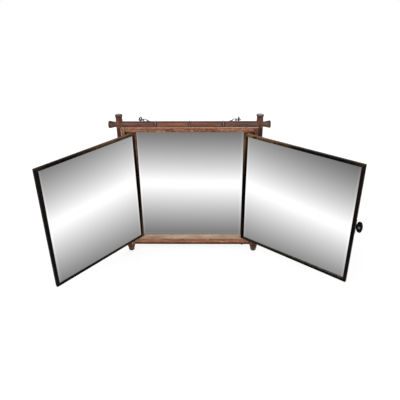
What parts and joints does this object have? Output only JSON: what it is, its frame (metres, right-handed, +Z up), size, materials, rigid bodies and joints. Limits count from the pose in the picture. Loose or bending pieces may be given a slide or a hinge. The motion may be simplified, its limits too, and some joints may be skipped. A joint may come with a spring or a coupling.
{
  "type": "triptych wall mirror",
  "caption": "Wall mirror in a shallow wooden case between turned posts, with two hinged metal-edged wing mirrors that fold over it.",
  "frame": {"origin": "centre of the back panel's wall face: the middle of the case's width, 148.5 mm below its top surface", "axes": "+X to the viewer's right, +Y from the mirror into the wall, +Z up"},
  "size_m": [0.6151, 0.2014, 0.3495],
  "materials": {
    "case_wood": "worn stained wood, satin",
    "cane_wood": "turned and stained dark red-brown, worn satin",
    "panel_wood": "raw aged pine, dull",
    "mirror_glass": "silvered glass",
    "board": "dark paperboard, dull",
    "bronzed_metal": "bronzed sheet metal, rubbed to brown at the hinges",
    "black_iron": "blackened iron",
    "nail_steel": "dull grey aged steel",
    "brass": "dull brass"
  },
  "bodies": {
    "root": {"case_top": "case_wood", "case_bottom": "case_wood", "case_left": "case_wood", "case_right": "case_wood", "centre_mirror": "mirror_glass", "centre_backing": "board", "back_panel": "panel_wood", "panel_nails": "nail_steel", "case_nails": "nail_steel", "post_left": "cane_wood", "post_right": "cane_wood", "rail": "cane_wood", "cross_pins": "nail_steel", "post_nails": "nail_steel", "rail_nails": "nail_steel", "hinge_pins": "brass", "hinge_washers": "brass", "keeper": "black_iron", "keeper_screws": "nail_steel", "screw_eyes": "nail_steel"},
    "left_wing": {"left_hinge_stile": "bronzed_metal", "left_top_edging": "bronzed_metal", "left_bottom_edging": "bronzed_metal", "left_outer_edging": "bronzed_metal", "left_mirror": "mirror_glass", "left_backing": "board"},
    "right_wing": {"right_hinge_stile": "bronzed_metal", "right_top_edging": "bronzed_metal", "right_bottom_edging": "bronzed_metal", "right_outer_edging": "bronzed_metal", "right_mirror": "mirror_glass", "right_backing": "board", "catch_lug": "black_iron", "lug_rivets": "black_iron", "button_rivet": "nail_steel"},
    "turn_button": {"turn_button": "black_iron"},
    "chain": {"end_links": "nail_steel", "chain_links": "nail_steel"}
  },
  "joints": [
    {"name": "left_wing_hinge", "type": "hinge", "parent": "root", "child": "left_wing", "pos_m": [-0.121, -0.0154, 0], "axis": [0, 0, 1], "range_deg": [-7, 129.5]},
    {"name": "right_wing_hinge", "type": "hinge", "parent": "root", "child": "right_wing", "pos_m": [0.121, -0.0235, 0], "axis": [0, 0, 1], "range_deg": [-134.5, 13.5]},
    {"name": "button_turn", "type": "hinge", "parent": "right_wing", "child": "turn_button", "pos_m": [0.33451, -0.1799, -0.0008], "axis": [0.6088, 0.7934, 0], "range_deg": [0, 90]},
    {"name": "chain_swing", "type": "hinge", "parent": "root", "child": "chain", "pos_m": [0, -0.0099, 0.1625], "axis": [1, 0, 0], "range_deg": [0, 165]}
  ]
}
